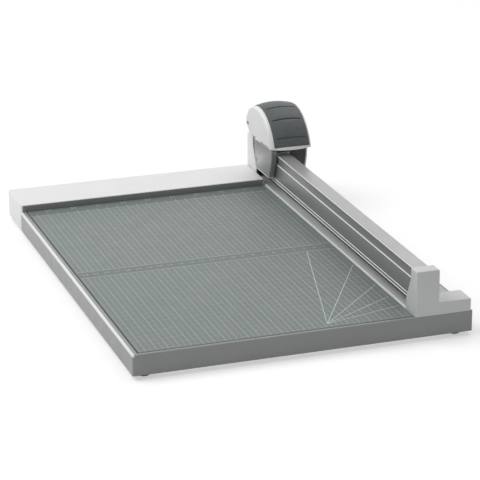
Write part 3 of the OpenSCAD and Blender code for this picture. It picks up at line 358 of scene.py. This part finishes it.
def guard_plastic(name, colour, facing_light_tone, painted_rim_highlight):
    """Smoky clear plastic: a painted tone for how light falls on its front return and back edge, and a
    painted highlight on its rim.
    """
    material, tree, shader = new_material(name)
    place = object_place(tree)
    tone(tree, shader, noise(tree, place, size_mm=12, detail=2), colour, drift=0.03)
    gloss(tree, shader, noise(tree, place, size_mm=8, detail=2), roughness=0.13, below=0.03, above=0.03)
    shader.inputs["Transmission Weight"].default_value = 0.08
    shader.inputs["IOR"].default_value = 1.49
    places = axis_places(tree)
    # Painted light: forward-facing faces and the back edge get their own tone, and the lower rim a painted
    # highlight
    ahead = between(tree, face_direction(tree)["Y"], low=-1.1, high=-0.6, soft=0.2)
    lay_tone(tree, ahead, facing_light_tone)
    lay_tone(tree, near_high(tree, places["Y"], GUARD_HIGH.y, GUARD_EDGE), facing_light_tone)
    lay_tone(tree, near_low(tree, places["Z"], GUARD_LOW.z, GUARD_EDGE), painted_rim_highlight)
    return material


# Each finish: what makes it, and its looks
RECIPES = {
    "tray_grey": (tray_plastic, {"colour": grey(156, COOL), "bright": HIGHLIGHT}),
    "mat_vinyl": (printed_vinyl, {"colour": grey(134, GREEN)}),
    "strip_grey": (strip_plastic, {"colour": grey(206, COOL), "bright": HIGHLIGHT}),
    "panel_grey": (moulded, {"colour": grey(200), "roughness": 0.4}),
    "fence_white": (fence_plastic, {"colour": grey(246), "stop_face_shade": grey(146, COOL)}),
    "cover_white": (cover_plastic, {"colour": grey(240), "painted_rim_highlight": grey(255)}),
    "post_grey": (moulded, {
        "colour": grey(220, COOL), "roughness": 0.34, "grain_mm": 4, "grain": 0.08, "drift": 0.02,
    }),
    "foot_rubber": (rubbery, {"colour": grey(38)}),
    "clamp_rubber": (rubbery, {"colour": grey(52)}),
    "grip_rubber": (rubbery, {"colour": grey(78, GRAPHITE), "roughness": 0.46}),
    "black_plastic": (moulded, {"colour": grey(40), "roughness": 0.45}),
    "glide_plastic": (moulded, {"colour": grey(226), "roughness": 0.3, "grain": 0.1}),
    "clip_plastic": (moulded, {"colour": grey(246), "roughness": 0.35}),
    "guard_smoke": (guard_plastic, {
        "colour": grey(130, COOL), "facing_light_tone": grey(146, COOL), "painted_rim_highlight": HIGHLIGHT,
    }),
    "rail_alloy": (rail_metal, {
        "colour": grey(180), "side_tone": grey(124, COOL), "bright": HIGHLIGHT,
    }),
    "zinc_plate": (drawn, {"colour": grey(190), "roughness": 0.4, "stretch": (0.05, 1, 1)}),
    "screw_zinc": (drawn, {"colour": grey(196), "roughness": 0.32, "stretch": (1, 1, 0.1)}),
    "dark_screw": (drawn, {"colour": grey(70), "roughness": 0.4, "stretch": (0.1, 1, 1)}),
    "ground_steel": (drawn, {"colour": grey(205), "roughness": 0.22, "stretch": (1, 1, 0.05)}),
    "blade_steel": (drawn, {"colour": grey(215), "roughness": 0.18, "stretch": (1, 0.3, 0.3)}),
    "bush_bronze": (drawn, {
        "colour": grey(176, BRONZE), "roughness": 0.36, "stretch": (1, 1, 0.2),
    }),
}
FINISHES = {name: make(name, **looks) for name, (make, looks) in RECIPES.items()}

FINISH_OF = {
    "base_tray": "tray_grey",
    "bottom_plate": "zinc_plate",
    "cutting_mat": "mat_vinyl",
    "cutting_strip": "strip_grey",
    "deck_panel": "panel_grey",
    "rear_fence": "fence_white",
    "front_post": "post_grey",
    "rear_post": "cover_white",
    "rubber_feet": "foot_rubber",
    "foot_screws": "screw_zinc",
    "plate_screws": "screw_zinc",
    "post_screws": "screw_zinc",
    "fence_screws": "screw_zinc",
    "guide_pins": "ground_steel",
    "rail_springs": "ground_steel",
    "guide_rail": "rail_alloy",
    "rail_end_blocks": "black_plastic",
    "end_block_pins": "ground_steel",
    "clamp_strip": "clamp_rubber",
    "carriage_block": "black_plastic",
    "glide_strip": "glide_plastic",
    "slot_sliders": "glide_plastic",
    "press_pins": "ground_steel",
    "press_springs": "ground_steel",
    "left_cover": "cover_white",
    "right_cover": "cover_white",
    "grip_pad": "grip_rubber",
    "head_frame": "black_plastic",
    "press_bushes": "bush_bronze",
    "cover_screws": "dark_screw",
    "blade_guard": "guard_smoke",
    "guard_clip": "clip_plastic",
    "blade_carrier": "ground_steel",
    "carrier_screws": "dark_screw",
    "blade_axle": "ground_steel",
    "axle_washer": "ground_steel",
    "blade_disc": "blade_steel",
    "blade_hub": "black_plastic",
    "hub_rivets": "ground_steel",
}

# Width of the small radius along a node's edges, in millimetres
EDGE_OF = {
    "base_tray": 0.3,
    "cutting_mat": 0.15,
    "cutting_strip": 0.2,
    "rear_fence": 0.3,
    "front_post": 0.35,
    "rear_post": 0.35,
    "guide_rail": 0.12,
    "carriage_block": 0.3,
    "left_cover": 0.2,
    "right_cover": 0.2,
    "grip_pad": 0.3,
    "blade_guard": 0.15,
    "guard_clip": 0.15,
}


# Geometry nodes

INTEGER = "NodeSocketInt"
NUMBER = "NodeSocketFloat"
PLACE = "NodeSocketVector"
SHAPE = "NodeSocketGeometry"
FINISH = "NodeSocketMaterial"


def new_tree(name, given):
    """A geometry nodes tree with named inputs, and those inputs' sockets inside it."""
    tree = bpy.data.node_groups.new(name, "GeometryNodeTree")
    for socket, kind in given.items():
        tree.interface.new_socket(socket, in_out="INPUT", socket_type=kind)
    tree.interface.new_socket("Geometry", in_out="OUTPUT", socket_type=SHAPE)
    return tree, tree.nodes.new("NodeGroupInput").outputs


def set_input(modifier, name, value):
    """Sets a geometry nodes modifier's input by the socket's identifier."""
    for item in modifier.node_group.interface.items_tree:
        if item.item_type == "SOCKET" and item.in_out == "INPUT" and item.name == name:
            modifier[item.identifier] = value


def new_object(name, data):
    """A new object, linked to the scene."""
    made = bpy.data.objects.new(name, data)
    bpy.context.scene.collection.objects.link(made)
    return made


def plain_mesh(holder, name):
    """The evaluated shape of an object as a new mesh object, with the holder removed."""
    bpy.context.view_layer.update()
    evaluated = holder.evaluated_get(bpy.context.evaluated_depsgraph_get())
    shape = bpy.data.meshes.new_from_object(evaluated)
    bpy.data.objects.remove(holder)
    shape.name = name
    return new_object(name, shape)


def built(tree, name, **sizes):
    """What a tree makes of its named inputs, as a plain mesh object."""
    holder = new_object(name, bpy.data.meshes.new("empty"))
    modifier = holder.modifiers.new("build", "NODES")
    modifier.node_group = tree
    for key, value in sizes.items():
        set_input(modifier, key.replace("_", " "), value)
    return plain_mesh(holder, name)


# The inputs of every tree that sets equal shapes in a row
ROW_INPUTS = {"Count": INTEGER, "Start": PLACE, "Step": PLACE, "Material": FINISH}


def set_in_row(tree, given, shape):
    """Sets a shape at equal steps along a line, in one material, as the tree's real mesh."""
    row = node(tree, "GeometryNodeMeshLine", mode="OFFSET", Count=given["Count"],
               Start_Location=given["Start"], Offset=given["Step"])
    copies = node(tree, "GeometryNodeInstanceOnPoints", Points=row.outputs["Mesh"], Instance=shape)
    real = node(tree, "GeometryNodeRealizeInstances", Geometry=copies.outputs["Instances"])
    finished = node(tree, "GeometryNodeSetMaterial", Geometry=real.outputs["Geometry"],
                    Material=given["Material"])
    node(tree, "NodeGroupOutput", Geometry=finished.outputs["Geometry"])


# The model's own nodes

WELD_REACH = 0.002 * MM
FLAT_ANGLE = math.radians(0.5)
ROUNDED_ANGLE = math.radians(35)
SHARP_ANGLE = math.radians(32)


def smoothing_tree():
    """Geometry nodes that shade a surface smooth, apart from its edges sharper than an angle."""
    tree, given = new_tree("smooth_but_sharp_edges", {"Geometry": SHAPE, "Sharp Angle": NUMBER})
    angle = node(tree, "GeometryNodeInputMeshEdgeAngle")
    under = node(tree, "FunctionNodeCompare", data_type="FLOAT", operation="LESS_THAN",
                 A=angle.outputs["Unsigned Angle"], B=given["Sharp Angle"])
    faces = node(tree, "GeometryNodeSetShadeSmooth", domain="FACE", Geometry=given["Geometry"])
    edges = node(tree, "GeometryNodeSetShadeSmooth", domain="EDGE",
                 Geometry=faces.outputs["Geometry"], Shade_Smooth=under.outputs["Result"])
    node(tree, "NodeGroupOutput", Geometry=edges.outputs["Geometry"])
    return tree


SMOOTHING = smoothing_tree()


def modify(piece, name, kind, **settings):
    """Adds a modifier with its settings."""
    modifier = piece.modifiers.new(name, kind)
    for key, value in settings.items():
        setattr(modifier, key, value)
    return modifier


def finish_cad_node(name):
    """Gives a CAD node its material, joined faces, small edge radii and smooth shading."""
    piece = NODES[name]
    piece.data.materials.clear()
    piece.data.materials.append(FINISHES[FINISH_OF[name]])
    modify(piece, "join_faces", "WELD", merge_threshold=WELD_REACH)
    if name in EDGE_OF:
        modify(piece, "flat_faces", "DECIMATE", decimate_type="DISSOLVE", angle_limit=FLAT_ANGLE)
        modify(piece, "edge_radius", "BEVEL", width=EDGE_OF[name] * MM, segments=2,
               limit_method="ANGLE", angle_limit=ROUNDED_ANGLE, harden_normals=False)
    smooth = modify(piece, "smooth_shading", "NODES", node_group=SMOOTHING)
    set_input(smooth, "Sharp Angle", SHARP_ANGLE)


for cad_name in sorted(NODES):
    finish_cad_node(cad_name)


# Springs

SPRING_WIRE = 0.4 * MM
RAIL_TURNS = 7.0
PRESS_TURNS = 6.0
# How finely a turn of wire and its section are cut
TURN_STEPS = 28
WIRE_SIDES = 10


def spring_tree():
    """Geometry nodes that wind equal round-wire springs at equal steps along a line."""
    tree, given = new_tree("wound_springs", {
        **ROW_INPUTS, "Coil Radius": NUMBER, "Wire Radius": NUMBER, "Turns": NUMBER, "Height": NUMBER,
    })
    coil = node(tree, "GeometryNodeCurveSpiral", Resolution=TURN_STEPS, Rotations=given["Turns"],
                Start_Radius=given["Coil Radius"], End_Radius=given["Coil Radius"],
                Height=given["Height"])
    section = node(tree, "GeometryNodeCurvePrimitiveCircle", Resolution=WIRE_SIDES,
                   Radius=given["Wire Radius"])
    wire = node(tree, "GeometryNodeCurveToMesh", Curve=coil.outputs["Curve"],
                Profile_Curve=section.outputs["Curve"], Fill_Caps=True)
    smooth = node(tree, "GeometryNodeSetShadeSmooth", Geometry=wire.outputs["Mesh"])
    set_in_row(tree, given, smooth.outputs["Geometry"])
    return tree


WINDING = spring_tree()


def sprung_pair(cad_name, body, turns):
    """Two wound springs in place of the model's."""
    low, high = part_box(cad_name)
    reach = (high.x - low.x) / 2
    height = high.z - low.z
    springs = built(
        WINDING, cad_name + "_wound",
        Count=2,
        Start=(low.x + reach, low.y + reach, low.z + SPRING_WIRE),
        Step=(0.0, high.y - low.y - 2 * reach, 0.0),
        Coil_Radius=reach - SPRING_WIRE,
        Wire_Radius=SPRING_WIRE,
        Turns=turns,
        Height=height - 2 * SPRING_WIRE,
        Material=FINISHES["ground_steel"],
    )
    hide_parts(cad_name)
    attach(springs, body)
    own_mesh(springs)


sprung_pair("rail_springs", "base", RAIL_TURNS)
sprung_pair("press_springs", "carriage", PRESS_TURNS)


# The mat's print

GRID_STEP = 5 * MM
CENTIMETRE = 10 * MM
INCH = 25.4 * MM

# The print's layers, from the lowest up, so that no two strokes lie in one plane where they cross
INK_RISE = 0.02 * MM
PRINT_LAYERS = (
    "bands", "fine_rows", "bold_rows", "fine_columns", "bold_columns", "band_edges", "ticks", "fan",
    "figures",
)
LAYER_Z = {name: MAT_HIGH.z + INK_RISE * (i + 1) for i, name in enumerate(PRINT_LAYERS)}

# Where the print lies: its grid is counted from the cut line, which is the blade's plane
PRINT_MARGIN = 2.5 * MM
PRINT_LEFT = MAT_LOW.x + PRINT_MARGIN
PRINT_RIGHT = MAT_HIGH.x - PRINT_MARGIN
PRINT_FRONT = MAT_LOW.y + PRINT_MARGIN
PRINT_MIDDLE = (PRINT_LEFT + PRINT_RIGHT) / 2
PRINT_WIDTH = PRINT_RIGHT - PRINT_LEFT
CUT_X = (BLADE_LOW.x + BLADE_HIGH.x) / 2

# The band of centimetre figures across the mat, and the band of inch figures by the fence
BAND_LOW = BASE_LOW.y + 188.4 * MM
BAND_HIGH = BASE_LOW.y + 203.7 * MM
TOP_BAND_LOW = BASE_LOW.y + 370.8 * MM
TOP_BAND_HIGH = FENCE_LOW.y - 1.5 * MM

# Widths of the lines, and of the painted seam shade along the mat's left and front edges
FINE_LINE = 0.34 * MM
TICK_LINE = 0.42 * MM
BORDER_LINE = 0.588 * MM
FAN_LINE = 0.68 * MM
SEAM_SHADE = 1.1 * MM

# Lengths of the marks by the fence, and heights of the figures
SHORT_TICK = 4 * MM
LONG_TICK = 7 * MM
FIGURE_H = 4.2 * MM
FAN_FIGURE_H = 0.8 * FIGURE_H
# A font's size for figures of height 1
LETTER_SCALE = 1.4
INCH_FIGURE_SHIFT = INCH / 8

# The fan of angles: its point, how far out its figures stand, and its lines in degrees
FAN_X = BASE_LOW.x + 175.6 * MM
FAN_Y = BASE_LOW.y + 11.9 * MM
FAN_MARK = 58 * MM
FAN_ANGLES = (15, 30, 45, 60, 75)

# Painted shade: a dark ink along the mat's edges, for the shadow in the seam beside the rim
SEAM_SHADE_INK = plain_ink("seam_shade_ink", grey(46, GREEN))
# The band by the fence is printed, and darkened further as painted shadow of the fence
TOP_BAND_INK_AND_SHADE = plain_ink("top_band_ink_and_shade", grey(116, GREEN))
BAND_INK = plain_ink("band_ink", grey(128, GREEN))
ROW_INK = plain_ink("row_ink", grey(168, GREEN))
FINE_INK = plain_ink("fine_ink", grey(184, GREEN))
BOLD_INK = plain_ink("bold_ink", grey(212, GREEN))


def strokes_tree():
    """Geometry nodes that lay equal flat strokes at equal steps."""
    tree, given = new_tree("equal_strokes", {
        **ROW_INPUTS, "Stroke Width": NUMBER, "Stroke Length": NUMBER,
    })
    stroke = node(tree, "GeometryNodeMeshGrid", Vertices_X=2, Vertices_Y=2,
                  Size_X=given["Stroke Width"], Size_Y=given["Stroke Length"])
    set_in_row(tree, given, stroke.outputs["Mesh"])
    return tree


STROKES = strokes_tree()


def strokes(layer, count, start, step, size, ink):
    """A row of equal strokes in one layer of the print; size is a stroke's extent along X and Y."""
    return built(
        STROKES, layer,
        Count=count,
        Start=(start[0], start[1], LAYER_Z[layer]),
        Step=(step[0], step[1], 0.0),
        Stroke_Width=size[0],
        Stroke_Length=size[1],
        Material=ink,
    )


def block(layer, low, high, ink):
    """One printed block between two corners."""
    middle = ((low[0] + high[0]) / 2, (low[1] + high[1]) / 2)
    size = (high[0] - low[0], high[1] - low[1])
    return strokes(layer, count=1, start=middle, step=(0, 0), size=size, ink=ink)


# Keeps a step that ends on the last place from being lost to rounding
ROUNDING = 1e-6


def steps_between(low, high, step):
    """How many places at equal steps fit between two places, with both ends counted."""
    return int((high - low) / step + ROUNDING) + 1


def columns(layer, step, front, back, ink):
    """Lines along the mat, at equal steps to the left of the cut line."""
    first = CUT_X - step
    count = steps_between(PRINT_LEFT, first, step)
    return strokes(layer, count, (first, (front + back) / 2), (-step, 0), (FINE_LINE, back - front), ink)


def rows(layer, step, front, back, ink):
    """Lines across the mat, at equal steps forward from the back of a block."""
    count = steps_between(front, back, step)
    return strokes(layer, count, (PRINT_MIDDLE, back), (0, -step), (PRINT_WIDTH, FINE_LINE), ink)


def grid_block(front, back):
    """Grid of fine lines with bolder centimetre lines, between two places along the mat."""
    return [
        columns("fine_columns", GRID_STEP, front, back, FINE_INK),
        rows("fine_rows", GRID_STEP, front, back, ROW_INK),
        columns("bold_columns", CENTIMETRE, front, back, BOLD_INK),
        rows("bold_rows", CENTIMETRE, front, back, FINE_INK),
    ]


def figure(words, x, y, height, turn=0.0):
    """A printed figure, centred on a place on the mat and turned about it."""
    letters = bpy.data.curves.new("figure", "FONT")
    letters.body = words
    letters.size = height * LETTER_SCALE
    letters.align_x = "CENTER"
    letters.align_y = "CENTER"
    letters.materials.append(FINE_INK)
    made = plain_mesh(new_object("figure", letters), "figure")
    place = Matrix.Translation((x, y, LAYER_Z["figures"]))
    made.data.transform(place @ Matrix.Rotation(turn, 4, "Z"))
    return made


def flat_piece(name, corners, material):
    """One flat face between its corners."""
    shape = bpy.data.meshes.new(name)
    shape.from_pydata(corners, [], [tuple(range(len(corners)))])
    shape.materials.append(material)
    return new_object(name, shape)


def slanted_stroke(name, start, angle, length, width, ink):
    """One flat stroke from a point in space, at an angle from +X."""
    along = Vector((math.cos(angle), math.sin(angle), 0))
    across = Vector((-along.y, along.x, 0)) * (width / 2)
    near = Vector(start)
    far = near + along * length
    return flat_piece(name, [near - across, far - across, far + across, near + across], ink)


def angle_fan():
    """Lines at equal angles from a point near the front, each marked in degrees."""
    parts = []
    for i, degrees in enumerate(FAN_ANGLES):
        angle = math.radians(degrees)
        start = (FAN_X, FAN_Y, LAYER_Z["fan"] + INK_RISE * i / len(FAN_ANGLES))
        to_right = (PRINT_RIGHT - FAN_X) / math.cos(angle)
        to_band = (BAND_LOW - FAN_Y) / math.sin(angle)
        length = min(to_right, to_band)
        parts.append(slanted_stroke(f"fan_{degrees}", start, angle, length, FAN_LINE, BOLD_INK))
        mark_x = FAN_X + math.cos(angle) * FAN_MARK
        mark_y = FAN_Y + math.sin(angle) * FAN_MARK
        parts.append(figure(f"{degrees}°", mark_x, mark_y, FAN_FIGURE_H, angle - math.pi / 2))
    return parts


def ticks(step, count, middle, length):
    """Marks by the fence, at equal steps to the left of the cut line."""
    return strokes("ticks", count, (CUT_X - step, middle), (-step, 0), (TICK_LINE, length), BOLD_INK)


def figure_bands():
    """The centimetre figures across the mat, and the two scales by the fence."""
    parts = [
        block("bands", (PRINT_LEFT, BAND_LOW), (PRINT_RIGHT, BAND_HIGH), BAND_INK),
        block("bands", (PRINT_LEFT, TOP_BAND_LOW), (PRINT_RIGHT, TOP_BAND_HIGH), TOP_BAND_INK_AND_SHADE),
    ]
    for y in (BAND_LOW, BAND_HIGH, TOP_BAND_LOW):
        front = y - BORDER_LINE / 2
        back = y + BORDER_LINE / 2
        parts.append(block("band_edges", (PRINT_LEFT, front), (PRINT_RIGHT, back), BOLD_INK))
    centimetres = steps_between(PRINT_LEFT, CUT_X - CENTIMETRE, CENTIMETRE)
    band_middle = (BAND_LOW + BAND_HIGH) / 2
    for count in range(1, centimetres + 1):
        parts.append(figure(str(count), CUT_X - CENTIMETRE * count, band_middle, FIGURE_H))
    parts.append(ticks(CENTIMETRE, centimetres, TOP_BAND_LOW + SHORT_TICK / 2, SHORT_TICK))
    inches = steps_between(PRINT_LEFT, CUT_X - INCH, INCH)
    mark_middle = TOP_BAND_HIGH - LONG_TICK / 2
    parts.append(ticks(INCH, inches, mark_middle, LONG_TICK))
    for count in range(1, inches + 1):
        x = CUT_X - INCH * count + INCH_FIGURE_SHIFT
        parts.append(figure(str(count), x, mark_middle, FIGURE_H))
    return parts


def edge_seams():
    """Painted shade along the mat's left and front edges, where the mat meets the rim."""
    return [
        block("band_edges", (MAT_LOW.x, MAT_LOW.y), (MAT_LOW.x + SEAM_SHADE, FENCE_LOW.y), SEAM_SHADE_INK),
        block("bands", (MAT_LOW.x, MAT_LOW.y), (MAT_HIGH.x, MAT_LOW.y + SEAM_SHADE), SEAM_SHADE_INK),
    ]


def joined(parts, name):
    """One mesh object made of several, at the origin."""
    with bpy.context.temp_override(active_object=parts[0], selected_editable_objects=parts):
        bpy.ops.object.join()
    parts[0].name = name
    parts[0].data.name = name
    return parts[0]


print_parts = [
    *grid_block(PRINT_FRONT, BAND_LOW),
    *grid_block(BAND_HIGH, TOP_BAND_LOW),
    *angle_fan(),
    *figure_bands(),
    *edge_seams(),
]
mat_print = joined(print_parts, "mat_print")
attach(mat_print, "base")


# Studio

WHITE = (1, 1, 1, 1)
FLOOR_REACH = 6.0
FLOOR_COLOUR = (0.75, 0.75, 0.75, 1)
FLOOR_GLOW = 0.45
# The world's strength on the trimmer, and where the camera sees it
WORLD_LIGHT = 0.35
WORLD_SEEN = 1.0

# The photograph's viewpoint, turned in degrees about X, Y and Z
CAMERA_PLACE = (-0.6129, -1.8535, 0.7213)
CAMERA_TURN = (70.5376, 0.3231, -18.8597)
CAMERA_LENS = 167.298
SENSOR_WIDTH = 36
CAMERA_REACH = 50


def seen_by_camera(tree, unseen, seen):
    """A level for light on the trimmer, and another where the camera sees its source.

    The camera sees it straight, in a gloss or through clear plastic.
    """
    rays = node(tree, "ShaderNodeLightPath").outputs
    straight = combined(tree, "MAXIMUM", rays["Is Camera Ray"], rays["Is Glossy Ray"])
    any_way = combined(tree, "MAXIMUM", straight, rays["Is Transmission Ray"])
    return node(tree, "ShaderNodeMapRange", Value=any_way, To_Min=unseen, To_Max=seen).outputs["Result"]


def studio_floor():
    """A wide pale floor that glows a little where the camera sees it, and keeps its shadows."""
    material, tree, _ = new_material("floor_paper")
    tree.nodes.clear()
    paper = node(tree, "ShaderNodeBsdfDiffuse", Color=FLOOR_COLOUR)
    glow = node(tree, "ShaderNodeEmission", Color=WHITE, Strength=seen_by_camera(tree, 0, FLOOR_GLOW))
    both = node(tree, "ShaderNodeAddShader")
    tree.links.new(paper.outputs[0], both.inputs[0])
    tree.links.new(glow.outputs[0], both.inputs[1])
    node(tree, "ShaderNodeOutputMaterial", Surface=both.outputs[0])
    reach = FLOOR_REACH
    corners = [(-reach, -reach, 0), (reach, -reach, 0), (reach, reach, 0), (-reach, reach, 0)]
    flat_piece("floor", corners, material)


def studio_world():
    """A plain white world, dimmer as a light than as a background."""
    world = bpy.data.worlds.new("studio")
    bpy.context.scene.world = world
    world.use_nodes = True
    tree = world.node_tree
    background = tree.nodes["Background"]
    background.inputs["Color"].default_value = WHITE
    strength = seen_by_camera(tree, WORLD_LIGHT, WORLD_SEEN)
    tree.links.new(strength, background.inputs["Strength"])


def studio_camera():
    """The camera at the photograph's viewpoint."""
    camera = bpy.data.cameras.new("camera")
    camera.sensor_width = SENSOR_WIDTH
    camera.lens = CAMERA_LENS
    camera.clip_end = CAMERA_REACH
    holder = new_object("camera", camera)
    holder.location = CAMERA_PLACE
    holder.rotation_euler = [math.radians(turn) for turn in CAMERA_TURN]
    bpy.context.scene.camera = holder


def soft_lamp(name, place, size, power):
    """A square lamp that faces the middle of the floor."""
    lamp = bpy.data.lights.new(name, "AREA")
    lamp.shape = "SQUARE"
    lamp.size = size
    lamp.energy = power
    holder = new_object(name, lamp)
    holder.location = place
    holder.rotation_euler = (-Vector(place)).to_track_quat("-Z", "Y").to_euler()


studio_floor()
studio_world()
studio_camera()
soft_lamp("key", place=(-1.6, 0.45, 2.3), size=2.2, power=40)
soft_lamp("fill", place=(1.2, 0.8, 2.4), size=1.8, power=11)
bpy.context.scene.view_settings.view_transform = "Standard"
